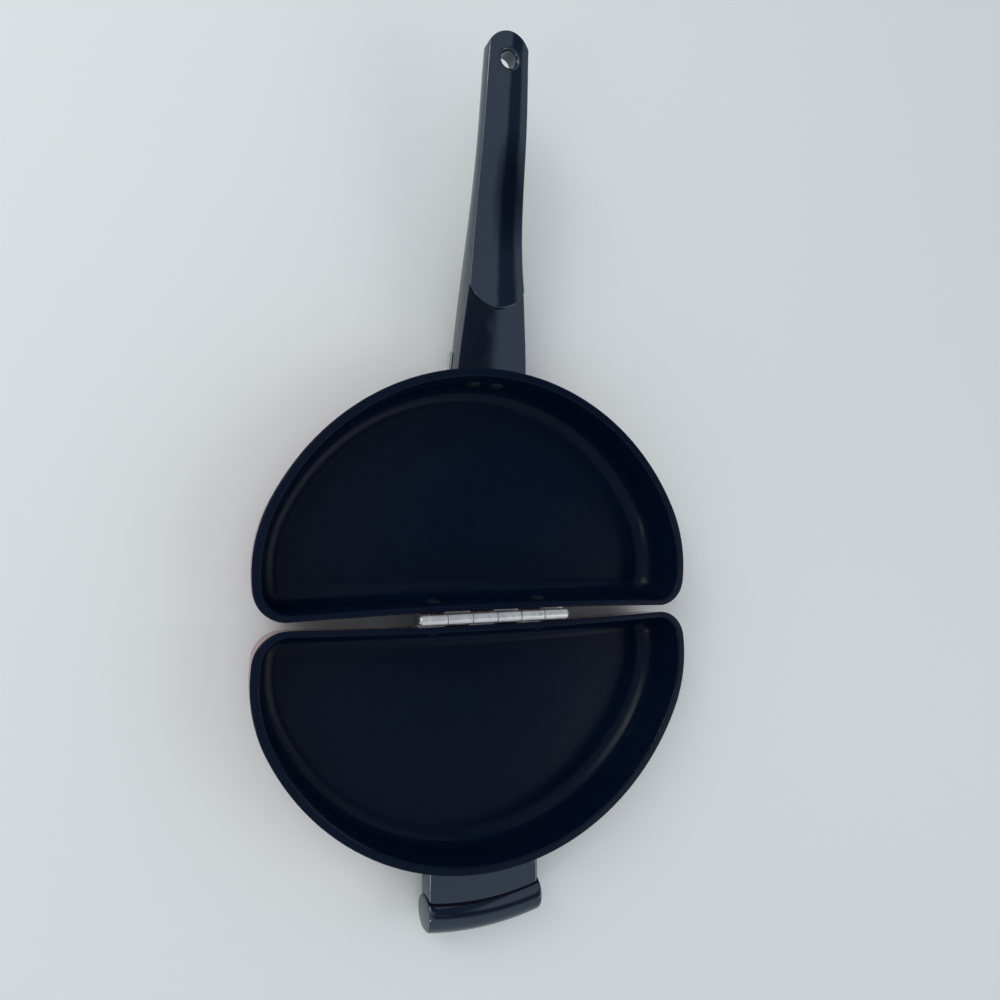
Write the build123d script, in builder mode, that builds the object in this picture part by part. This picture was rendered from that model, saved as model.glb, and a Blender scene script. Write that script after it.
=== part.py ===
"""Folding two-sided frying pan: two D-shaped die-cast halves on one pinned butt hinge.

Millimetres, +Z up. The pan lies open, both halves on their bases. +Y runs from the
hinge to the tip of the long handle, and +X along the hinge. The origin is the centre
of the base of the half that carries the long handle.
"""

import os
from math import asin, atan, cos, degrees, radians, sin, sqrt, tan

from build123d import *

os.makedirs("parts", exist_ok=True)

# Outline of the rim, one half
rim_half_width = 120.2      # centre line to the widest point, along the hinge
rim_reach = 128.5           # hinge axis to the far edge of the rim
flank_radius = 75.0         # arcs beside the long one opposite the hinge
crown_turn = 64.158         # degrees from the centre line to where the long arc meets them
corner_radius = 16.0        # corners at the hinge side
seam_gap = 3.6              # hinge axis to the straight side, at its middle
seam_bow = 2.25             # how much nearer to the axis its ends come

# Section of one half
pan_height = 32.0
draft = 5.0                 # degrees, inside and out
rim_width = 4.5             # wall at the curved side
seam_wall = 3.3             # wall at the straight side
floor_thickness = 3.2
floor_radius = 9.0          # inner corner of floor and wall
heel_radius = 11.0          # outer corner of base and wall
rim_outer_round = 0.8
rim_inner_round = 1.0
pad_step = 0.8              # height of the raised pad the half stands on
pad_margin = 3.0            # pad edge in from the end of the heel
closed_gap = 0.3            # between the two rims with the pan shut

# Hinge
pin_radius = 1.55
pin_clearance = 0.05
knuckle_pitch = 13.56
knuckle_count = 6
knuckle_gap = 0.5           # between neighbours on the pin
leaf_thickness = 1.4
leaf_drop = 18.0            # rim to the lower edge of a leaf
crank_start = 2.0           # below the axis, where the strip turns out to the wall
crank_angle = 35.0          # degrees from upright
crank_radius = 1.6          # both bends of the crank
curl_angle = 290.0          # how far the strip wraps round the pin
leaf_corner = 3.0           # lower corners of a leaf
seat_margin = 0.3           # cast seat beyond the leaf on every side
pin_head_radius = 2.9
pin_head_height = 1.6
pin_tail_radius = 2.1
pin_tail_height = 0.9

# Rivets
rivet_shank_radius = 2.0
rivet_head_radius = 4.2
rivet_head_height = 1.5
rivet_tail_radius = 3.0
rivet_tail_height = 1.0
rivet_clearance = 0.05
rivet_seat = 0.1            # flat of a head to the hollow wall it sits on
leaf_rivet_spacing = 60.0
leaf_rivet_depth = 12.0     # below the rim
bracket_rivet_spacing = 13.5
bracket_rivet_depth = 15.5

# Long handle: sizes at six stations, evenly spaced from the wall to the tip
handle_half_widths = (20.0, 17.3, 14.6, 13.2, 12.3, 11.1)
ridge_heights = (-3.0, 2.0, 2.2, 7.3, 12.8, 17.2)   # top edges of the sides, from the rim
side_depths = (17.5, 19.3, 14.0, 10.2, 9.5, 9.2)    # ridge to underside
handle_tip_y = 298.0        # from the hinge axis
ridge_inset = 0.5           # ridge in from the widest point of the side
keel_inset = 0.9            # lower edge in from the widest point of the side
crown_rise = 1.0            # grip's top above its ridges
keel_drop = 1.5             # underside below its edges
nose_y = 177.0              # centre of the round nose where the grip begins, from the hinge axis
nose_radius = 17.0
flat_at_nose = 1.4          # height of the root's flat top from the rim
flat_at_wall = -4.4
ridge_round = 0.5
root_round = 0.3            # upper edges of the root
keel_round = 2.5
tip_round = 11.0            # length of the rounded end
tip_overlap = 1.0           # its ellipse beyond the sides it rounds off
hole_radius = 4.4
hole_to_tip = 13.3
hole_round = 1.4
root_overlap = 8.0          # start of the handle's loft inside the wall, trimmed away
keel_round_start = 3.0      # where the rounding of its lower edges starts, off the wall
handle_gap = 0.3            # handle or bracket to its neighbour

# Bracket of the long handle
bracket_thickness = 1.2
bracket_half_width = 23.0
bracket_top = 6.0           # below the rim
bracket_bottom = 20.0
cradle_length = 10.0        # out from the wall plate
cradle_top = 14.5           # below the rim

# Screws, washers and inserts
screw_radius = 2.5
screw_head_radius = 4.6
screw_head_height = 2.6
screw_length = 14.0         # under the head
drive_radius = 1.6
drive_depth = 1.5
washer_thickness = 1.0
washer_radius = 4.8
washer_gap = 0.1            # flat washer to the curved cradle
thread_clearance = 0.05
insert_radius = 4.0
insert_length = 9.0
screw_reach = 5.5           # from the wall plate to the handle's screw

# Helper handle on the folding half
helper_half_width = 30.8
helper_bar_half = 31.0      # at the ends of the bar
helper_end_bulge = 0.8      # how far those ends swell
helper_web_top = 12.5       # below the rim
helper_web_bottom = 25.5
helper_web_reach = 16.4     # rim to the start of the bar
helper_reach = 33.7         # rim to the outer edge of the bar
helper_bar_top = 9.0        # below the rim
helper_bar_bottom = 28.0
helper_bar_round = 8.5
helper_edge_round = 1.2     # long edges of the web's sides
lug_half_width = 17.0
lug_reach = 14.0            # beyond the rim
lug_top = 15.0              # below the rim
lug_bottom = 21.0
lug_corner = 4.5
lug_clearance = 0.2
helper_screw_spacing = 18.0
helper_screw_reach = 8.0    # beyond the rim
helper_screw_length = 8.0
helper_sweep = 40.0         # degrees swept before the ends are trimmed

# Derived places
hinge_y = -(rim_reach + seam_gap) / 2
rim_z = pan_height
hinge_z = rim_z + closed_gap / 2
flank_x = rim_half_width - flank_radius
crown_radius = flank_radius + flank_x / sin(radians(crown_turn))
crown_y = hinge_y + rim_reach - crown_radius
flank_y = crown_y + (crown_radius - flank_radius) * cos(radians(crown_turn))
slope = tan(radians(draft))
floor_z = pad_step + floor_thickness
barrel_length = knuckle_count * knuckle_pitch
bore_radius = pin_radius + pin_clearance
knuckle_radius = bore_radius + leaf_thickness
half_turn = Location((0, 2 * hinge_y, 0), (0, 0, 180))
far_rim_y = hinge_y + rim_reach
root_y = rim_reach - root_overlap
station_pitch = (handle_tip_y - root_y) / (len(handle_half_widths) - 1)
wide = 4 * max(handle_half_widths)


def pan_outline(inset, seam_inset, corner):
    """Face of one half's outline, drawn in by separate amounts at curve and seam."""
    crown = crown_radius - inset
    flank = flank_radius - inset
    seam_y = hinge_y + seam_gap + seam_inset
    tip_y = seam_y - seam_bow
    tip_angle = degrees(asin((tip_y - flank_y) / flank))
    join_angle = 90 - crown_turn
    top = Vector(0, crown_y + crown)
    join = Vector(flank_x, flank_y) + Vector(flank, 0).rotate(Axis.Z, join_angle)
    side = Vector(flank_x, flank_y) + Vector(flank, 0).rotate(Axis.Z, (join_angle + tip_angle) / 2)
    tip = Vector(flank_x, flank_y) + Vector(flank, 0).rotate(Axis.Z, tip_angle)
    with BuildSketch() as outline:
        with BuildLine():
            ThreePointArc((-join.X, join.Y), top, join)
            ThreePointArc(join, side, tip)
            ThreePointArc(tip, (0, seam_y), (-tip.X, tip.Y))
            ThreePointArc((-tip.X, tip.Y), (-side.X, side.Y), (-join.X, join.Y))
        make_face()
        fillet(outline.vertices().group_by(Axis.Y)[0], corner)
    return outline.sketch


def tapered_half(top_z, bottom_z, inset, seam_inset):
    """Solid between two heights with the drafted walls of one half."""
    with BuildPart() as block:
        for z in (top_z, bottom_z):
            pull = (rim_z - z) * slope
            with BuildSketch(Plane.XY.offset(z)):
                add(pan_outline(inset + pull, seam_inset + pull, corner_radius - seam_inset - pull))
        loft(ruled=True)
    return block.part


def wall_frame(x, depth, inset):
    """Plane on the curved wall, its normal pointing out of the pan."""
    radius = crown_radius - inset - depth * slope
    turn = degrees(asin(x / radius))
    outward = Vector(0, cos(radians(draft)), -sin(radians(draft))).rotate(Axis.Z, -turn)
    along = Vector(1, 0, 0).rotate(Axis.Z, -turn)
    spot = (x, crown_y + sqrt(radius**2 - x**2), rim_z - depth)
    return Plane(origin=spot, x_dir=along, z_dir=outward)


def seam_frame(x, depth):
    """Plane on the flat seat of the straight wall, its normal pointing at the hinge."""
    spot = (x, hinge_y + seam_gap + depth * slope, rim_z - depth)
    return Plane(origin=spot, x_dir=(1, 0, 0), z_dir=(0, -cos(radians(draft)), -sin(radians(draft))))


def rivet(grip):
    """Rivet through a wall: domed head inside the pan, flat tail at the local origin."""
    dome = (rivet_head_radius**2 + rivet_head_height**2) / (2 * rivet_head_height)
    with BuildPart() as piece:
        with BuildSketch(Plane.XZ):
            with BuildLine():
                RadiusArc((0, -grip - rivet_head_height), (rivet_head_radius, -grip), -dome)
                Polyline(
                    (rivet_head_radius, -grip),
                    (rivet_shank_radius, -grip),
                    (rivet_shank_radius, 0),
                    (rivet_tail_radius, 0),
                    (rivet_tail_radius, rivet_tail_height),
                    (0, rivet_tail_height),
                    (0, -grip - rivet_head_height),
                )
            make_face()
        revolve(axis=Axis.Z)
    return piece.part


def screw(length):
    """Pan-head screw pointing up from the local origin, with a blind drive recess."""
    with BuildPart() as piece:
        Cylinder(screw_radius, length, align=(Align.CENTER, Align.CENTER, Align.MIN))
        with BuildSketch():
            Circle(screw_head_radius)
        extrude(amount=-screw_head_height)
        fillet(piece.edges().group_by(Axis.Z)[0], screw_head_height / 2)
        with BuildSketch(Plane.XY.offset(-screw_head_height)):
            Rectangle(2 * drive_radius, drive_radius / 2)
            Rectangle(drive_radius / 2, 2 * drive_radius)
        extrude(amount=drive_depth, mode=Mode.SUBTRACT)
    return piece.part


def washer():
    """Plain washer lying on the local plane, below its origin."""
    with BuildPart() as piece:
        with BuildSketch():
            Circle(washer_radius)
            Circle(screw_radius + thread_clearance, mode=Mode.SUBTRACT)
        extrude(amount=-washer_thickness)
    return piece.part


def handle_station(reach, half, ridge, depth, grow):
    """Cross-section of the long handle at one distance from the hinge axis."""
    ridge_half = half - ridge_inset + grow
    keel_half = half - keel_inset + grow
    top = rim_z + ridge + grow
    keel = rim_z + ridge - depth - grow
    with BuildSketch(Plane(origin=(0, hinge_y + reach, 0), x_dir=(1, 0, 0), z_dir=(0, -1, 0))) as section:
        with BuildLine():
            ThreePointArc((-ridge_half, top), (0, top + crown_rise), (ridge_half, top))
            ThreePointArc((ridge_half, top), (half + grow, (top + keel) / 2), (keel_half, keel))
            ThreePointArc((keel_half, keel), (0, keel - keel_drop), (-keel_half, keel))
            ThreePointArc((-keel_half, keel), (-half - grow, (top + keel) / 2), (-ridge_half, top))
        make_face()
    return section.sketch


def handle_body(grow):
    """Smooth body through the stations, from inside the rim to the tip."""
    sizes = zip(handle_half_widths, ridge_heights, side_depths)
    stations = [
        handle_station(root_y + number * station_pitch, half, ridge, depth, grow)
        for number, (half, ridge, depth) in enumerate(sizes)
    ]
    return loft(stations, mode=Mode.PRIVATE)


def wall_plate(room):
    """Bent plate hugging the curved wall, grown on every side by the room asked for."""
    plate_top = rim_z - bracket_top + room
    plate_bottom = rim_z - bracket_bottom - room
    thickness = bracket_thickness + room
    with BuildPart() as plate:
        add(tapered_half(rim_z, 0, -thickness, -thickness))
        add(tapered_half(rim_z, 0, 0, 0), mode=Mode.SUBTRACT)
        with Locations((0, far_rim_y, plate_bottom)):
            Box(
                2 * (bracket_half_width + room),
                rim_reach,
                plate_top - plate_bottom,
                align=(Align.CENTER, Align.CENTER, Align.MIN),
                mode=Mode.INTERSECT,
            )
    return plate.part


def write_turned(piece, name):
    """Write a piece of the folding half, turned half way round the hinge's middle."""
    turned = piece.moved(half_turn)
    turned.label = name
    export_step(turned, f"parts/{name}.step")


helper_screw_places = (-helper_screw_spacing / 2, helper_screw_spacing / 2)
helper_screw_spots = [
    Plane((x, far_rim_y + helper_screw_reach, rim_z - helper_web_bottom)) for x in helper_screw_places
]
leaf_rivet_spots = [seam_frame(x, leaf_rivet_depth) for x in (-leaf_rivet_spacing / 2, leaf_rivet_spacing / 2)]
bracket_rivet_spots = [
    wall_frame(x, bracket_rivet_depth, 0) for x in (-bracket_rivet_spacing / 2, bracket_rivet_spacing / 2)
]

bracket_tail_spots = [frame.offset(bracket_thickness) for frame in bracket_rivet_spots]

# Casting common to both halves: drafted D-shaped dish with a heel, a rolled rim and a raised pad
with BuildPart() as cavity:
    add(tapered_half(rim_z, floor_z, rim_width, seam_wall))
    fillet(cavity.edges().group_by(Axis.Z)[0], floor_radius)

with BuildPart() as casting:
    add(tapered_half(rim_z, pad_step, 0, 0))
    fillet(casting.edges().group_by(Axis.Z)[0], heel_radius)
    pad_inset = (pan_height - pad_step) * slope + heel_radius + pad_margin
    with BuildSketch(Plane.XY):
        add(pan_outline(pad_inset, pad_inset, pad_margin))
    extrude(amount=pad_step)
    add(cavity.part, mode=Mode.SUBTRACT)
    rim_face = casting.faces().filter_by(Axis.Z).sort_by(Axis.Z)[-1]
    fillet(rim_face.outer_wire().edges(), rim_outer_round)
    rim_face = casting.faces().filter_by(Axis.Z).sort_by(Axis.Z)[-1]
    fillet(rim_face.inner_wires()[0].edges(), rim_inner_round)
    # flat seat for the hinge leaf, with its two rivet holes
    with BuildSketch(seam_frame(0, 0)):
        Rectangle(barrel_length + 2 * seat_margin, 2 * (leaf_drop + seat_margin))
    extrude(amount=seam_gap, mode=Mode.SUBTRACT)
    with Locations(*leaf_rivet_spots):
        Cylinder(rivet_shank_radius + rivet_clearance, 3 * seam_wall, mode=Mode.SUBTRACT)

# Handle-side pan: the casting drilled for the bracket's rivets
with BuildPart() as handle_side_pan:
    add(casting.part)
    with Locations(*bracket_rivet_spots):
        Cylinder(rivet_shank_radius + rivet_clearance, 3 * rim_width, mode=Mode.SUBTRACT)
handle_side_pan.part.label = "handle_side_pan"
export_step(handle_side_pan.part, "parts/handle_side_pan.step")

# Folding-side pan: the same casting turned round, with a cast lug for its handle
with BuildPart() as lug:
    with BuildSketch(Plane.XY.offset(rim_z - lug_bottom)):
        with Locations((0, far_rim_y)):
            RectangleRounded(2 * lug_half_width, 2 * lug_reach, lug_corner)
    extrude(amount=lug_bottom - lug_top)
    add(cavity.part, mode=Mode.SUBTRACT)

with BuildPart() as folding_side_pan:
    add(casting.part)
    add(lug.part)
    with Locations(*[(x, far_rim_y + helper_screw_reach, rim_z - lug_bottom) for x in helper_screw_places]):
        Cylinder(screw_radius + thread_clearance, 3 * (lug_bottom - lug_top), mode=Mode.SUBTRACT)
write_turned(folding_side_pan.part, "folding_side_pan")

# Hinge leaf: one strip curled round the pin, cranked to the wall, notched for its neighbour
hinge_section = Plane(origin=(-barrel_length / 2, hinge_y, hinge_z), x_dir=(0, 1, 0), z_dir=(1, 0, 0))
curl_radius = bore_radius + leaf_thickness / 2
wall_line = seam_gap - leaf_thickness / (2 * cos(radians(draft))) - slope * closed_gap / 2
crank_sin = sin(radians(crank_angle))
crank_cos = cos(radians(crank_angle))
crank_run = (wall_line + slope * crank_start - curl_radius) / (crank_sin - slope * crank_cos)
crank_end = (curl_radius + crank_run * crank_sin, -crank_start - crank_run * crank_cos)
strip_end = (wall_line + slope * leaf_drop, -leaf_drop)
with BuildPart() as leaf:
    with BuildLine(hinge_section) as strip:
        CenterArc((0, 0), curl_radius, 0, curl_angle)
        FilletPolyline((curl_radius, 0), (curl_radius, -crank_start), crank_end, strip_end, radius=crank_radius)
    free_end = strip.wires()[0] @ 1
    with BuildSketch(Plane(origin=free_end, x_dir=(1, 0, 0), z_dir=strip.wires()[0] % 1)):
        Rectangle(barrel_length, leaf_thickness, align=(Align.MIN, Align.CENTER))
    sweep()
    notches = [
        ((number - (knuckle_count - 1) / 2) * knuckle_pitch, hinge_y, hinge_z - knuckle_radius - knuckle_gap)
        for number in range(1, knuckle_count, 2)
    ]
    with Locations(*notches):
        Box(
            knuckle_pitch + knuckle_gap,
            4 * knuckle_radius,
            4 * knuckle_radius,
            align=(Align.CENTER, Align.CENTER, Align.MIN),
            mode=Mode.SUBTRACT,
        )
    with Locations(*leaf_rivet_spots):
        Cylinder(rivet_shank_radius + rivet_clearance, 4 * leaf_thickness, mode=Mode.SUBTRACT)
    low_edges = leaf.edges().filter_by(lambda edge: edge.center().Z < rim_z - leaf_rivet_depth - rivet_head_radius)
    fillet(low_edges.filter_by(lambda edge: abs(edge.length - leaf_thickness) < knuckle_gap), leaf_corner)
leaf.part.label = "handle_side_leaf"
export_step(leaf.part, "parts/handle_side_leaf.step")
write_turned(leaf.part, "folding_side_leaf")

# Hinge pin: domed head at one end, peened button at the other
with BuildPart() as hinge_pin:
    with BuildSketch(Plane(origin=(0, hinge_y, hinge_z), x_dir=(1, 0, 0), z_dir=(0, -1, 0))):
        half_barrel = barrel_length / 2
        with BuildLine():
            head_dome = (pin_head_radius**2 + pin_head_height**2) / (2 * pin_head_height)
            Polyline(
                (half_barrel + pin_head_height, 0),
                (-half_barrel - pin_tail_height, 0),
                (-half_barrel - pin_tail_height, pin_tail_radius),
                (-half_barrel, pin_tail_radius),
                (-half_barrel, pin_radius),
                (half_barrel, pin_radius),
                (half_barrel, pin_head_radius),
            )
            RadiusArc((half_barrel, pin_head_radius), (half_barrel + pin_head_height, 0), head_dome)
        make_face()
    revolve(axis=Axis((0, hinge_y, hinge_z), (1, 0, 0)))
hinge_pin.part.label = "hinge_pin"
export_step(hinge_pin.part, "parts/hinge_pin.step")

# Rivets that hold the leaves, two through each straight wall
with BuildPart() as leaf_rivets:
    with Locations(*[frame.offset(leaf_thickness) for frame in leaf_rivet_spots]):
        add(rivet(seam_wall + leaf_thickness))
leaf_rivets.part.label = "handle_side_leaf_rivets"
export_step(leaf_rivets.part, "parts/handle_side_leaf_rivets.step")
write_turned(leaf_rivets.part, "folding_side_leaf_rivets")

# Long handle: phenolic moulding, rounded tip, hanging hole, flat root before a U-shaped grip nose
cradle_blank = handle_body(handle_gap + bracket_thickness)
screw_line = Axis((0, far_rim_y + bracket_thickness + screw_reach, -pan_height), (0, 0, 1))
seat_point, seat_normal = min(cradle_blank.find_intersection_points(screw_line), key=lambda hit: hit[0].Z)
seat_frame = Plane(origin=seat_point, x_dir=(1, 0, 0), z_dir=seat_normal)
insert_frame = seat_frame.offset(-bracket_thickness - handle_gap)
screw_frame = seat_frame.offset(washer_gap)
wall_plate_room = wall_plate(handle_gap)
nose_place = (0, hinge_y + nose_y, rim_z + flat_at_nose)
root_rise = (flat_at_nose - flat_at_wall) / (nose_y - rim_reach)
root_normal = (0, -sin(atan(root_rise)), cos(atan(root_rise)))
tip_rise = (ridge_heights[-1] - ridge_heights[-2]) / station_pitch
hole_place = (0, hinge_y + handle_tip_y - hole_to_tip, rim_z + ridge_heights[-1] - tip_rise * hole_to_tip)
hole_frame = Plane(hole_place, x_dir=(1, 0, 0), z_dir=(0, -sin(atan(tip_rise)), cos(atan(tip_rise))))
with BuildPart() as long_handle:
    add(handle_body(0))
    with BuildSketch(Plane.XY):
        with Locations((0, hinge_y + handle_tip_y - tip_round)):
            Ellipse(handle_half_widths[-1] + tip_overlap, tip_round)
            Rectangle(wide, handle_tip_y, align=(Align.CENTER, Align.MAX))
    extrude(amount=4 * pan_height, mode=Mode.INTERSECT)
    with BuildSketch(Plane(nose_place, x_dir=(1, 0, 0), z_dir=root_normal)):
        Rectangle(wide, wide, align=(Align.CENTER, Align.MAX))
        Circle(nose_radius, mode=Mode.SUBTRACT)
    extrude(amount=pan_height, mode=Mode.SUBTRACT)
    add(tapered_half(2 * rim_z, -rim_z, -handle_gap, -handle_gap), mode=Mode.SUBTRACT)
    end_y = far_rim_y + handle_gap + keel_round_start
    underside = long_handle.faces().filter_by(lambda face: face.normal_at().Z < -0.8)
    fillet(underside.edges().filter_by(lambda edge: edge.center().Y > end_y), keel_round)
    topside = long_handle.faces().filter_by(lambda face: face.normal_at().Z > 0.8).sort_by(Axis.Y)
    fillet(topside[-1].edges(), ridge_round)
    root_flat = long_handle.faces().filter_by(GeomType.PLANE).filter_by(lambda face: face.normal_at().Z > 0.8)
    fillet(root_flat.edges().filter_by(lambda edge: abs(edge.center().X) > ridge_inset), root_round)
    with Locations(hole_frame):
        Cylinder(hole_radius, pan_height, mode=Mode.SUBTRACT)
    hole = long_handle.faces().filter_by(GeomType.CYLINDER).filter_by(lambda face: abs(face.radius - hole_radius) < 1e-3)
    fillet(hole.edges().filter_by(GeomType.LINE, reverse=True), hole_round)
    with Locations(insert_frame):
        Cylinder(insert_radius + thread_clearance, 2 * insert_length, mode=Mode.SUBTRACT)
        Cylinder(screw_radius + handle_gap, 2 * screw_length, mode=Mode.SUBTRACT)
    add(wall_plate_room, mode=Mode.SUBTRACT)
    with Locations(*bracket_tail_spots):
        Cylinder(rivet_tail_radius + handle_gap, 2 * (rivet_tail_height + handle_gap), mode=Mode.SUBTRACT)
long_handle.part.label = "long_handle"
export_step(long_handle.part, "parts/long_handle.step")

# Steel bracket: plate riveted to the curved wall, with an open cradle under the handle's root
with BuildPart() as cradle:
    add(cradle_blank)
    add(handle_body(handle_gap), mode=Mode.SUBTRACT)
    with Locations((0, far_rim_y, rim_z - cradle_top)):
        Box(
            wide,
            2 * cradle_length,
            pan_height,
            align=(Align.CENTER, Align.CENTER, Align.MAX),
            mode=Mode.INTERSECT,
        )
    add(tapered_half(rim_z, -rim_z, 0, 0), mode=Mode.SUBTRACT)

with BuildPart() as handle_bracket:
    add(wall_plate(0))
    add(cradle.part)
    with Locations(*bracket_rivet_spots):
        Cylinder(rivet_shank_radius + rivet_clearance, 3 * rim_width, mode=Mode.SUBTRACT)
    with Locations(screw_frame):
        Cylinder(screw_radius + handle_gap / 2, 4 * bracket_thickness, mode=Mode.SUBTRACT)
handle_bracket.part.label = "handle_bracket"
export_step(handle_bracket.part, "parts/handle_bracket.step")

with BuildPart() as bracket_rivets:
    with Locations(*bracket_tail_spots):
        add(rivet(rim_width + bracket_thickness + rivet_seat))
bracket_rivets.part.label = "bracket_rivets"
export_step(bracket_rivets.part, "parts/bracket_rivets.step")

# Screw, washer and brass insert of the long handle, square to its underside
with BuildPart() as handle_screw:
    with Locations(screw_frame.offset(washer_thickness) * Rotation(180, 0, 0)):
        add(screw(screw_length))
handle_screw.part.label = "handle_screw"
export_step(handle_screw.part, "parts/handle_screw.step")

with BuildPart() as handle_washer:
    with Locations(screw_frame * Rotation(180, 0, 0)):
        add(washer())
handle_washer.part.label = "handle_washer"
export_step(handle_washer.part, "parts/handle_washer.step")

with BuildPart() as handle_insert:
    with BuildSketch(insert_frame):
        Circle(insert_radius)
        Circle(screw_radius + thread_clearance, mode=Mode.SUBTRACT)
    extrude(amount=-insert_length)
handle_insert.part.label = "handle_insert"
export_step(handle_insert.part, "parts/handle_insert.step")

# Helper handle: phenolic web with a rolled bar along its outer edge, pocketed for the cast lug
sweep_start = Vector(1, 0, 0).rotate(Axis.Z, -helper_sweep / 2)
radial = Vector(0, 1, 0).rotate(Axis.Z, -helper_sweep / 2)
with BuildPart() as helper_handle:
    with BuildSketch(Plane(origin=(0, crown_y, rim_z), x_dir=radial, z_dir=sweep_start)):
        with Locations((crown_radius - helper_web_reach, -helper_web_bottom)):
            Rectangle(
                helper_web_reach + (helper_web_reach + helper_reach) / 2,
                helper_web_bottom - helper_web_top,
                align=(Align.MIN, Align.MIN),
            )
        with Locations((crown_radius + helper_web_reach, -helper_bar_bottom)):
            RectangleRounded(
                helper_reach - helper_web_reach,
                helper_bar_bottom - helper_bar_top,
                helper_bar_round,
                align=(Align.MIN, Align.MIN),
            )
    revolve(axis=Axis((0, crown_y, 0), (0, 0, 1)), revolution_arc=helper_sweep)
    bar_start = crown_y + sqrt((crown_radius + helper_web_reach) ** 2 - helper_half_width**2)
    bar_end = crown_y + sqrt((crown_radius + helper_reach) ** 2 - helper_half_width**2)
    bar_middle = (bar_start + bar_end) / 2
    with BuildSketch(Plane.XY):
        with BuildLine() as helper_side:
            Polyline(
                (0, crown_y),
                (helper_half_width, crown_y),
                (helper_half_width, bar_start),
                (helper_bar_half, bar_start),
            )
            ThreePointArc(
                (helper_bar_half, bar_start),
                (helper_bar_half + helper_end_bulge, bar_middle),
                (helper_bar_half, bar_end),
            )
            Polyline((helper_bar_half, bar_end), (helper_bar_half, bar_end + helper_reach), (0, bar_end + helper_reach))
            mirror(about=Plane.YZ)
        make_face()
    extrude(amount=4 * pan_height, mode=Mode.INTERSECT)
    add(tapered_half(2 * rim_z, -rim_z, -handle_gap, -handle_gap), mode=Mode.SUBTRACT)
    web_sides = helper_handle.faces().filter_by(GeomType.PLANE).filter_by(Axis.X)
    fillet(web_sides.edges().filter_by(Axis.Y), helper_edge_round)
    with BuildSketch(Plane.XY.offset(rim_z - lug_bottom - lug_clearance)):
        with Locations((0, far_rim_y)):
            Rectangle(2 * (lug_half_width + lug_clearance), 2 * (lug_reach + lug_clearance))
    extrude(amount=lug_bottom - lug_top + 2 * lug_clearance, mode=Mode.SUBTRACT)
    with Locations(*helper_screw_spots):
        Cylinder(screw_radius + handle_gap / 2, 2 * (helper_web_bottom - lug_bottom), mode=Mode.SUBTRACT)
write_turned(helper_handle.part, "helper_handle")

with BuildPart() as helper_screws:
    with Locations(*[frame.offset(-washer_thickness) for frame in helper_screw_spots]):
        add(screw(helper_screw_length))
write_turned(helper_screws.part, "helper_screws")

with BuildPart() as helper_washers:
    with Locations(*helper_screw_spots):
        add(washer())
write_turned(helper_washers.part, "helper_washers")
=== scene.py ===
"""Folding two-sided frying pan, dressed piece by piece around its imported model.

Metres, +Z up. The pan lies open on a pale floor, +Y runs from the hinge to the tip of
the long handle, and +X along the hinge.
"""

import math

import bmesh
import bpy
from mathutils import Matrix, Quaternion, Vector


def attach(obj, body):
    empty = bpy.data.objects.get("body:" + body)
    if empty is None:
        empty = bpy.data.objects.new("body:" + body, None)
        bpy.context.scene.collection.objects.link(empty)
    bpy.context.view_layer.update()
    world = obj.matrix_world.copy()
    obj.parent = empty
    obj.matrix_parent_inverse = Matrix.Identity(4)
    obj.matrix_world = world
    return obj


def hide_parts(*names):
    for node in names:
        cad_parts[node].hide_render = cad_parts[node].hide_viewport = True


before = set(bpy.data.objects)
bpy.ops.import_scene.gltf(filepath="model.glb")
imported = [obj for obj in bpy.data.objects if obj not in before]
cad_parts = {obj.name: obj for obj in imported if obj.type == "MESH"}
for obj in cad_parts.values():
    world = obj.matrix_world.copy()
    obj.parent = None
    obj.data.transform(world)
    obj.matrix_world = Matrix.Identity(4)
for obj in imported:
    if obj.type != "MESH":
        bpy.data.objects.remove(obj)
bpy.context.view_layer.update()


# The view: a wide lens held 350 mm above the rims, just past the left edge of the pan, and
# turned 25 degrees to the right, so the rims look large and the tip of the handle small.
view_place = Vector((-0.16024, -0.02290, 0.38403))
view_turn = Vector((0.04259, -0.43241, 0.01062))    # turning axis, as long as the angle
view_rotation = Quaternion(view_turn.normalized(), view_turn.length)
camera_data = bpy.data.cameras.new("view")
camera_data.lens = 27.0
camera_data.sensor_width = 36.0
camera_data.clip_start = 0.01
camera = bpy.data.objects.new("view", camera_data)
bpy.context.scene.collection.objects.link(camera)
camera.matrix_world = Matrix.LocRotScale(view_place, view_rotation, None)
bpy.context.scene.camera = camera
bpy.context.scene.view_settings.view_transform = "Standard"


# The floor: one pale sheet, matt and level, that stands for the table under the pan. It
# is part of the stage and not of the product.
def new_material(name):
    """Node material with its tree and its ready shader."""
    material = bpy.data.materials.new(name)
    material.use_nodes = True
    tree = material.node_tree
    return material, tree, tree.nodes["Principled BSDF"]


floor_half = 4.0
floor_colour = (0.72, 0.735, 0.725, 1)
floor_roughness = 0.6
floor_mesh = bmesh.new()
bmesh.ops.create_grid(floor_mesh, x_segments=1, y_segments=1, size=floor_half)
floor_data = bpy.data.meshes.new("floor")
floor_mesh.to_mesh(floor_data)
floor_mesh.free()
floor = bpy.data.objects.new("floor", floor_data)
bpy.context.scene.collection.objects.link(floor)
floor_paint, _, floor_shader = new_material("floor_paint")
floor_shader.inputs["Base Color"].default_value = floor_colour
floor_shader.inputs["Roughness"].default_value = floor_roughness
floor_data.materials.append(floor_paint)


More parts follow.
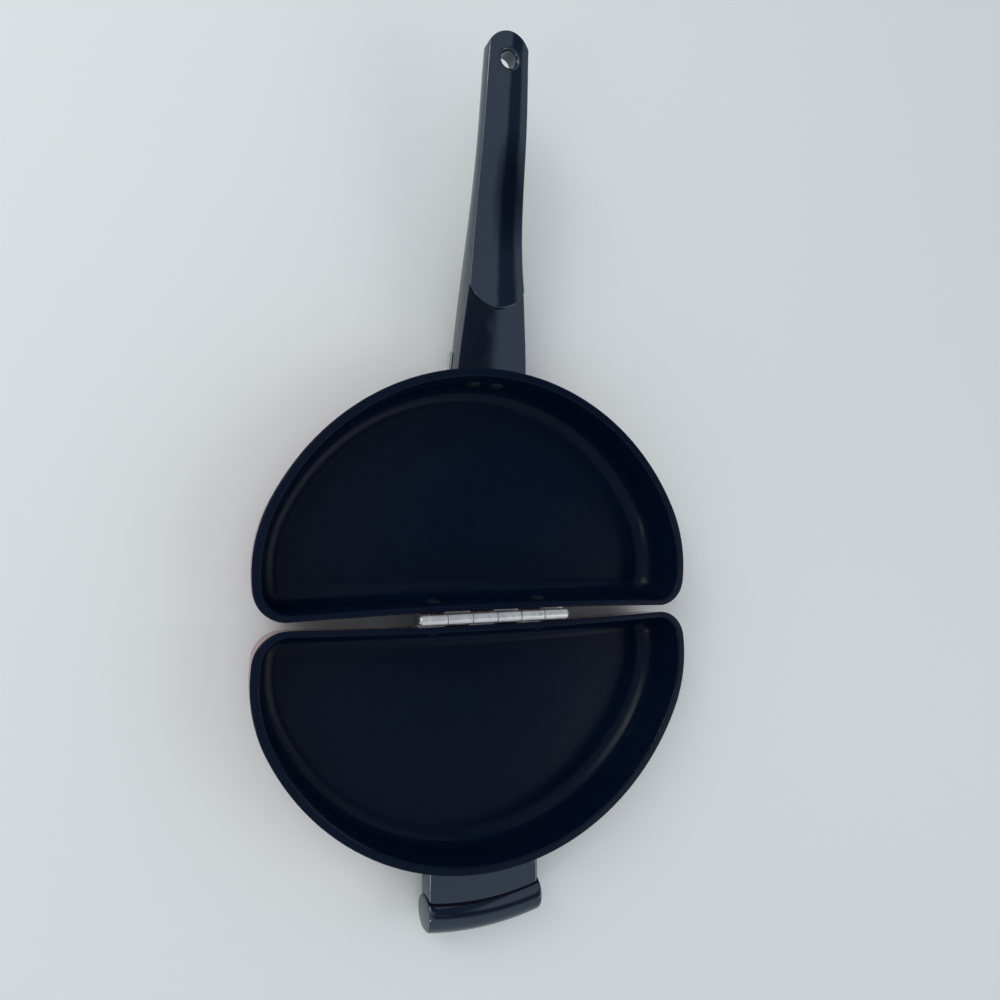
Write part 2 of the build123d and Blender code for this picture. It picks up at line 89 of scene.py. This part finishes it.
# The light: a soft window high at the left, two slim upright panes low at the left that
# draw thin bright lines along rounded edges, and a weak fill at the right.
def lamp(name, place, aim, width, height, watts, colour):
    """Soft rectangular lamp that looks at a point."""
    data = bpy.data.lights.new(name, "AREA")
    data.shape = "RECTANGLE"
    data.size = width
    data.size_y = height
    data.energy = watts
    data.color = colour
    piece = bpy.data.objects.new(name, data)
    bpy.context.scene.collection.objects.link(piece)
    piece.location = place
    piece.rotation_euler = (Vector(aim) - Vector(place)).to_track_quat("-Z", "Y").to_euler()


lamp(
    "window", place=(-1.1, 0.9, 1.2), aim=(0, 0, 0),
    width=1.2, height=1.2, watts=11.0, colour=(1.0, 0.99, 0.97),
)
lamp(
    "handle_pane", place=(-1.26, 1.02, 0.62), aim=(0, 0.2, 0),
    width=0.14, height=1.2, watts=4.5, colour=(1.0, 1.0, 1.0),
)
lamp(
    "helper_pane", place=(-1.4, -0.87, 0.60), aim=(0, -0.2, 0),
    width=0.14, height=1.2, watts=4.5, colour=(1.0, 1.0, 1.0),
)
lamp(
    "fill", place=(1.3, -0.5, 1.1), aim=(0, 0, 0),
    width=1.0, height=1.0, watts=4.0, colour=(0.98, 0.99, 1.0),
)


# The room above: an even pale ceiling with a round dim quarter over the right half of the
# pan, a dark beam, and a small pale pane. The glossy handles mirror them as calm areas with
# clean edges. Where the room itself is in view, it is one plain tone.
ceiling_strength = 0.64
ceiling_colour = (0.90, 0.97, 1.04, 1)
dim_colour = (0.20, 0.20, 0.21, 1)
beam_colour = (0.20, 0.24, 0.30, 1)
black = (0, 0, 0, 1)
white = (1, 1, 1, 1)
quarter_way = (0.50, -0.05, 0.865)      # towards the middle of the dim quarter
quarter_start = 0.950                   # it begins this far along that way,
quarter_full = 0.980                    # and is fully dim from here
beam_side = (0.880, -0.133, -0.456)     # square to the beam's length
beam_half = 0.075
beam_start = 0.025                      # it begins this far along +Y
beam_fade = 0.040                       # width of its soft edge
pane_side = (0.915, 0.041, -0.401)      # across the pane, whose length runs along Y
pane_middle = 0.027
pane_half = 0.027
pane_middle_y = 0.0425
pane_half_y = 0.0525
pane_fade = 0.006
world = bpy.data.worlds.new("ceiling")
world.use_nodes = True
bpy.context.scene.world = world
room = world.node_tree
ceiling = room.nodes["Background"]
ceiling.inputs["Strength"].default_value = ceiling_strength
way = room.nodes.new("ShaderNodeTexCoord")


def along(direction):
    """How far a way out of the room runs along a direction, from -1 to 1."""
    product = room.nodes.new("ShaderNodeVectorMath")
    product.operation = "DOT_PRODUCT"
    product.inputs[1].default_value = direction
    room.links.new(way.outputs["Generated"], product.inputs[0])
    return product.outputs["Value"]


def figure(tree, operation, first, second=0.0):
    """One sum on a signal and a number or a second signal."""
    node = tree.nodes.new("ShaderNodeMath")
    node.operation = operation
    tree.links.new(first, node.inputs[0])
    if isinstance(second, float):
        node.inputs[1].default_value = second
    else:
        tree.links.new(second, node.inputs[1])
    return node.outputs["Value"]


def outside(direction, middle, half):
    """How far a way is outside a strip that lies across a direction."""
    off_middle = figure(room, "ABSOLUTE", figure(room, "SUBTRACT", along(direction), middle))
    return figure(room, "SUBTRACT", off_middle, half)


def step(signal, start, stop, before, after):
    """Colour that changes between two values of a signal."""
    ramp = room.nodes.new("ShaderNodeValToRGB")
    ramp.color_ramp.elements[0].position = start
    ramp.color_ramp.elements[0].color = before
    ramp.color_ramp.elements[1].position = stop
    ramp.color_ramp.elements[1].color = after
    room.links.new(signal, ramp.inputs["Fac"])
    return ramp.outputs["Color"]


def join(blend, first):
    """Colour mixer with its first colour linked; returns its factor, second and result."""
    node = room.nodes.new("ShaderNodeMix")
    node.data_type = "RGBA"
    node.blend_type = blend
    node.inputs["Factor"].default_value = 1.0
    one, two = (socket for socket in node.inputs if socket.type == "RGBA")
    room.links.new(first, one)
    return node.inputs["Factor"], two, next(socket for socket in node.outputs if socket.type == "RGBA")


quarter = step(
    along(quarter_way), start=quarter_start, stop=quarter_full,
    before=ceiling_colour, after=dim_colour,
)

off_beam_side = outside(beam_side, middle=0.0, half=beam_half)
before_beam = figure(room, "ADD", along((0, -1, 0)), beam_start)
past_beam = figure(room, "MAXIMUM", off_beam_side, before_beam)
beam_shade = step(past_beam, start=0.0, stop=beam_fade, before=beam_colour, after=white)
_, beam_slot, shaded = join("MULTIPLY", quarter)
room.links.new(beam_shade, beam_slot)

off_pane_side = outside(pane_side, pane_middle, pane_half)
off_pane_end = outside((0, 1, 0), pane_middle_y, pane_half_y)
past_pane = figure(room, "MAXIMUM", off_pane_side, off_pane_end)
pane_share = step(past_pane, start=0.0, stop=pane_fade, before=white, after=black)
in_pane, pane_slot, lit = join("MIX", shaded)
room.links.new(pane_share, in_pane)
pane_slot.default_value = ceiling_colour

seen_directly, plain_slot, room_colour = join("MIX", lit)
room.links.new(room.nodes.new("ShaderNodeLightPath").outputs["Is Camera Ray"], seen_directly)
plain_slot.default_value = ceiling_colour
room.links.new(room_colour, ceiling.inputs["Color"])


# The two halves: die-cast aluminium. A satin black non-stick coat with a navy cast covers
# the inside and the rim, and a burgundy lacquer the outside. The coat ends where the rim
# rolls over, so the slope tells the two apart, and the height does round the base pad.
def pattern(tree, scale, detail=2.0, stretch=(1, 1, 1)):
    """Noise on the piece's own coordinates, in cycles per metre."""
    coordinates = tree.nodes.new("ShaderNodeTexCoord")
    place = tree.nodes.new("ShaderNodeMapping")
    place.inputs["Scale"].default_value = stretch
    noise = tree.nodes.new("ShaderNodeTexNoise")
    noise.inputs["Scale"].default_value = scale
    noise.inputs["Detail"].default_value = detail
    tree.links.new(coordinates.outputs["Object"], place.inputs["Vector"])
    tree.links.new(place.outputs["Vector"], noise.inputs["Vector"])
    return noise.outputs["Fac"]


def spread(tree, signal, low, high, start=0.3, stop=0.7):
    """The signal stretched from start..stop to low..high."""
    remap = tree.nodes.new("ShaderNodeMapRange")
    remap.inputs["From Min"].default_value = start
    remap.inputs["From Max"].default_value = stop
    remap.inputs["To Min"].default_value = low
    remap.inputs["To Max"].default_value = high
    tree.links.new(signal, remap.inputs["Value"])
    return remap.outputs["Result"]


def tint(tree, signal, dark, light):
    """Colour that runs from dark to light with the signal."""
    ramp = tree.nodes.new("ShaderNodeValToRGB")
    ramp.color_ramp.elements[0].color = (*dark, 1)
    ramp.color_ramp.elements[1].color = (*light, 1)
    tree.links.new(signal, ramp.inputs["Fac"])
    return ramp.outputs["Color"]


def bump(tree, shader, signal, height, strength):
    """Raise the surface by a height in metres where the signal is high."""
    relief = tree.nodes.new("ShaderNodeBump")
    relief.inputs["Distance"].default_value = height
    relief.inputs["Strength"].default_value = strength
    tree.links.new(signal, relief.inputs["Height"])
    tree.links.new(relief.outputs["Normal"], shader.inputs["Normal"])


def reading(tree, source, axis):
    """One axis of the surface's own Normal or Object coordinates."""
    coordinates = tree.nodes.new("ShaderNodeTexCoord")
    axes = tree.nodes.new("ShaderNodeSeparateXYZ")
    tree.links.new(coordinates.outputs[source], axes.inputs["Vector"])
    return axes.outputs[axis]


def divide(tree, share, first, second):
    """Show the second shader where the share is 1, and the first where it is 0."""
    both = tree.nodes.new("ShaderNodeMixShader")
    tree.links.new(share, both.inputs["Fac"])
    tree.links.new(first.outputs["BSDF"], both.inputs[1])
    tree.links.new(second.outputs["BSDF"], both.inputs[2])
    tree.links.new(both.outputs["Shader"], tree.nodes["Material Output"].inputs["Surface"])


def dress(node, material):
    """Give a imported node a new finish."""
    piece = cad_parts[node]
    piece.data.materials.clear()
    piece.data.materials.append(material)


pad_height = 0.0008         # raised pad that each half stands on
coat_bottom = 0.0016        # the pan's floor starts above this
lacquer_full = -0.05        # the surface faces down by this much, and wears lacquer alone
lacquer_start = -0.01
coat_dark = (0.0010, 0.0039, 0.0132)
coat_light = (0.0016, 0.0053, 0.0168)
lacquer_dark = (0.120, 0.0030, 0.013)
lacquer_light = (0.155, 0.0048, 0.019)


def cast_finish():
    """Satin coat inside and burgundy lacquer outside, on one casting."""
    material, tree, coat = new_material("non_stick_and_lacquer")
    mottle = pattern(tree, scale=60.0, detail=3.0)
    grain = pattern(tree, scale=1800.0)
    tree.links.new(tint(tree, mottle, coat_dark, coat_light), coat.inputs["Base Color"])
    tree.links.new(spread(tree, grain, low=0.20, high=0.30), coat.inputs["Roughness"])
    coat.inputs["Specular IOR Level"].default_value = 0.09
    bump(tree, coat, grain, height=0.00002, strength=0.5)

    lacquer = tree.nodes.new("ShaderNodeBsdfPrincipled")
    peel = pattern(tree, scale=110.0, detail=0.0)
    tree.links.new(tint(tree, mottle, lacquer_dark, lacquer_light), lacquer.inputs["Base Color"])
    tree.links.new(spread(tree, mottle, low=0.20, high=0.27), lacquer.inputs["Roughness"])
    lacquer.inputs["Specular IOR Level"].default_value = 0.25
    lacquer.inputs["Coat Weight"].default_value = 0.4
    lacquer.inputs["Coat Roughness"].default_value = 0.12
    bump(tree, lacquer, peel, height=0.00006, strength=0.2)

    slope = reading(tree, "Normal", "Z")
    height = reading(tree, "Object", "Z")
    faces_down = spread(tree, slope, low=1.0, high=0.0, start=lacquer_full, stop=lacquer_start)
    at_base = spread(tree, height, low=1.0, high=0.0, start=pad_height, stop=coat_bottom)
    divide(tree, figure(tree, "MAXIMUM", faces_down, at_base), coat, lacquer)
    return material


cast_coat = cast_finish()
dress("handle_side_pan", cast_coat)
dress("folding_side_pan", cast_coat)


# Rivets through the walls: aluminium, ready coated in satin black. The head lies inside the
# pan, and only an end that is upset over a hinge leaf loses its coat and shows bare metal.
hinge_y = -0.06605
bare_reach = 0.0040         # bare ends lie within this of the hinge axis
coated_reach = 0.0045       # and coated ones beyond this
rivet_coat_dark = (0.003, 0.005, 0.010)
rivet_coat_light = (0.010, 0.013, 0.020)
bare_dark = (0.56, 0.57, 0.58)
bare_light = (0.74, 0.75, 0.76)


def rivet_finish():
    """Black coat, and bare aluminium near the hinge."""
    material, tree, coat = new_material("coated_rivet")
    grain = pattern(tree, scale=900.0)
    tree.links.new(tint(tree, grain, rivet_coat_dark, rivet_coat_light), coat.inputs["Base Color"])
    tree.links.new(spread(tree, grain, low=0.26, high=0.4), coat.inputs["Roughness"])
    bump(tree, coat, grain, height=0.00003, strength=0.6)

    bare = tree.nodes.new("ShaderNodeBsdfPrincipled")
    bare.inputs["Metallic"].default_value = 1.0
    tree.links.new(tint(tree, grain, bare_dark, bare_light), bare.inputs["Base Color"])
    tree.links.new(spread(tree, grain, low=0.3, high=0.42), bare.inputs["Roughness"])
    bump(tree, bare, grain, height=0.00003, strength=0.6)

    from_hinge = figure(tree, "SUBTRACT", reading(tree, "Object", "Y"), hinge_y)
    reach = figure(tree, "ABSOLUTE", from_hinge)
    coated = spread(tree, reach, low=0.0, high=1.0, start=bare_reach, stop=coated_reach)
    divide(tree, coated, bare, coat)
    return material


rivet_coat = rivet_finish()
for node in ("handle_side_leaf_rivets", "folding_side_leaf_rivets", "bracket_rivets"):
    dress(node, rivet_coat)


# The hinge: two leaves of stainless strip rolled round a stainless pin. The strip keeps
# its rolling lines, which run round the knuckles and down the leaves.
steel_dark = (0.61, 0.60, 0.595)
steel_light = (0.81, 0.80, 0.785)
line_stretch = (1.0, 0.06, 0.06)    # close together along the hinge, long round it


def rolled_steel():
    """Bright strip with fine lines and faint blotches."""
    material, tree, shader = new_material("rolled_stainless")
    lines = pattern(tree, scale=900.0, detail=3.0, stretch=line_stretch)
    blotch = pattern(tree, scale=220.0)
    shader.inputs["Metallic"].default_value = 1.0
    tree.links.new(tint(tree, blotch, steel_dark, steel_light), shader.inputs["Base Color"])
    tree.links.new(spread(tree, lines, low=0.26, high=0.45), shader.inputs["Roughness"])
    bump(tree, shader, lines, height=0.00005, strength=0.6)
    return material


hinge_steel = rolled_steel()
for node in ("handle_side_leaf", "folding_side_leaf", "hinge_pin"):
    dress(node, hinge_steel)


# The long handle: black phenolic resin, compression moulded and tumbled to a gloss. The
# skin is slightly wavy, and fine specks of filler show only close up.
resin_dark = (0.0008, 0.0030, 0.0080)
resin_light = (0.0018, 0.0048, 0.0120)
gloss_tint = (0.66, 0.79, 1.0, 1)


def moulded_phenolic():
    """Deep black gloss with a blue cast."""
    material, tree, shader = new_material("black_phenolic")
    wave = pattern(tree, scale=55.0, detail=1.0)
    speck = pattern(tree, scale=1400.0, detail=3.0)
    tree.links.new(tint(tree, speck, resin_dark, resin_light), shader.inputs["Base Color"])
    tree.links.new(spread(tree, speck, low=0.035, high=0.07), shader.inputs["Roughness"])
    shader.inputs["Specular IOR Level"].default_value = 1.0
    shader.inputs["Specular Tint"].default_value = gloss_tint
    bump(tree, shader, wave, height=0.00018, strength=0.35)
    return material


phenolic = moulded_phenolic()
dress("long_handle", phenolic)


# The helper handle: one phenolic moulding on the folding half, a flat web that follows the
# round wall and a rolled bar along its outer edge for two fingers. Its ends are tumbled to
# a soft edge, and two screws hold it to the lug on the wall.
rim_height = 0.032
rim_reach = 0.1285          # hinge axis to the far rim
arc_radius = 0.1252         # long arc of the rim opposite the hinge
wall_draft = math.radians(5.0)
wall_slope = math.tan(wall_draft)
wall_gap = 0.0003           # between the wall and the web
web_half = 0.0308           # half of its width, along X
web_top = rim_height - 0.0125
web_bottom = rim_height - 0.0255
web_end_round = 0.0018
bar_half = 0.0317
bar_start = arc_radius + 0.0164
bar_end = arc_radius + 0.0337
bar_top = rim_height - 0.009
bar_bottom = rim_height - 0.028
bar_corner = 0.0083
bar_corner_steps = 8
bar_end_round = 0.0014
end_round_steps = 6
end_margin = 1.5            # the sweep stops this many end rounds before the square cut
sweep_steps = 32
sharp_angle = math.radians(40.0)


def wall_radius(height):
    """Outside of the drafted wall, from the centre of the long arc."""
    return arc_radius - wall_slope * (rim_height - height)


def add_bar(body, section, corner, half_width, end_round):
    """Add a section of radius and height pairs, swept along the wall, cut square and eased."""
    bar = bmesh.new()
    points = [bar.verts.new((0, -radius, height)) for radius, height in section]
    bar.faces.new(points)
    if corner:
        bmesh.ops.bevel(
            bar, geom=points, offset=corner, segments=bar_corner_steps, affect="VERTICES",
            profile=0.5, material=-1,
        )
    bmesh.ops.delete(bar, geom=bar.faces[:], context="FACES_ONLY")

    farthest = max(radius for radius, _ in section)
    turn = math.asin((half_width - end_margin * end_round) / farthest)
    start_turn = Matrix.Rotation(-turn, 3, "Z")
    bmesh.ops.rotate(bar, cent=(0, 0, 0), matrix=start_turn, verts=bar.verts[:])
    first = bar.edges[:]
    swept = bmesh.ops.spin(
        bar, geom=bar.verts[:] + first, cent=(0, 0, 0), axis=(0, 0, 1),
        angle=2 * turn, steps=sweep_steps,
    )
    last = [item for item in swept["geom_last"] if isinstance(item, bmesh.types.BMEdge)]
    outlines = []
    for side, edges in ((-1, first), (1, last)):
        grown = bmesh.ops.extrude_edge_only(bar, edges=edges)["geom"]
        for vert in (item for item in grown if isinstance(item, bmesh.types.BMVert)):
            vert.co.xy = (side * half_width, -math.sqrt(vert.co.xy.length_squared - half_width**2))
        outlines.append([item for item in grown if isinstance(item, bmesh.types.BMEdge)])
    for face in bar.faces:
        face.smooth = True

    ends = []
    for outline in outlines:
        ends += bmesh.ops.contextual_create(bar, geom=outline)["faces"]
    for face in ends:
        face.smooth = False
    bmesh.ops.recalc_face_normals(bar, faces=bar.faces[:])
    end_edges = [edge for face in ends for edge in face.edges]
    eased = bmesh.ops.bevel(
        bar, geom=end_edges, offset=end_round, segments=end_round_steps, affect="EDGES",
        profile=0.5, material=-1, clamp_overlap=True,
    )
    for face in eased["faces"]:
        face.smooth = True
    loose = bpy.data.meshes.new("loose")
    bar.to_mesh(loose)
    bar.free()
    body.from_mesh(loose)
    bpy.data.meshes.remove(loose)


web_end = (bar_start + bar_end) / 2
web_section = (
    (wall_radius(web_bottom) + wall_gap, web_bottom),
    (web_end, web_bottom),
    (web_end, web_top),
    (wall_radius(web_top) + wall_gap, web_top),
)
bar_section = (
    (bar_start, bar_bottom),
    (bar_end, bar_bottom),
    (bar_end, bar_top),
    (bar_start, bar_top),
)
arc_middle_y = hinge_y - rim_reach + arc_radius
helper_mesh = bmesh.new()
add_bar(helper_mesh, web_section, 0, web_half, web_end_round)
add_bar(helper_mesh, bar_section, bar_corner, bar_half, bar_end_round)
bmesh.ops.translate(helper_mesh, vec=(0, arc_middle_y, 0), verts=helper_mesh.verts[:])
helper_data = bpy.data.meshes.new("helper_grip")
helper_mesh.to_mesh(helper_data)
helper_mesh.free()
helper_data.set_sharp_from_angle(angle=sharp_angle)
helper_data.materials.append(phenolic)
helper_grip = bpy.data.objects.new("helper_grip", helper_data)
bpy.context.scene.collection.objects.link(helper_grip)
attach(helper_grip, "folding_half")
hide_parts("helper_handle")


# Small metal: a polished pressed bracket under the root of the long handle, zinc-plated
# screws and washers, and a turned brass insert that shows only in its hole.
def plain_metal(name, dark, light, rough_low, rough_high, scale, stretch=(1, 1, 1)):
    """Metal with one grain in its colour, roughness and relief."""
    material, tree, shader = new_material(name)
    lines = pattern(tree, scale=scale, stretch=stretch)
    shader.inputs["Metallic"].default_value = 1.0
    tree.links.new(tint(tree, lines, dark, light), shader.inputs["Base Color"])
    tree.links.new(spread(tree, lines, low=rough_low, high=rough_high), shader.inputs["Roughness"])
    bump(tree, shader, lines, height=0.00002, strength=0.4)
    return material


bracket_steel = plain_metal(
    "polished_bracket", dark=(0.62, 0.62, 0.62), light=(0.74, 0.74, 0.73),
    rough_low=0.14, rough_high=0.24, scale=700.0, stretch=(0.1, 1, 1),
)
zinc = plain_metal(
    "zinc_plate", dark=(0.52, 0.53, 0.54), light=(0.66, 0.67, 0.68),
    rough_low=0.22, rough_high=0.36, scale=500.0,
)
brass = plain_metal(
    "turned_brass", dark=(0.66, 0.46, 0.18), light=(0.80, 0.60, 0.28),
    rough_low=0.22, rough_high=0.32, scale=900.0,
)
dress("handle_bracket", bracket_steel)
for node in ("handle_screw", "handle_washer", "helper_screws", "helper_washers"):
    dress(node, zinc)
dress("handle_insert", brass)
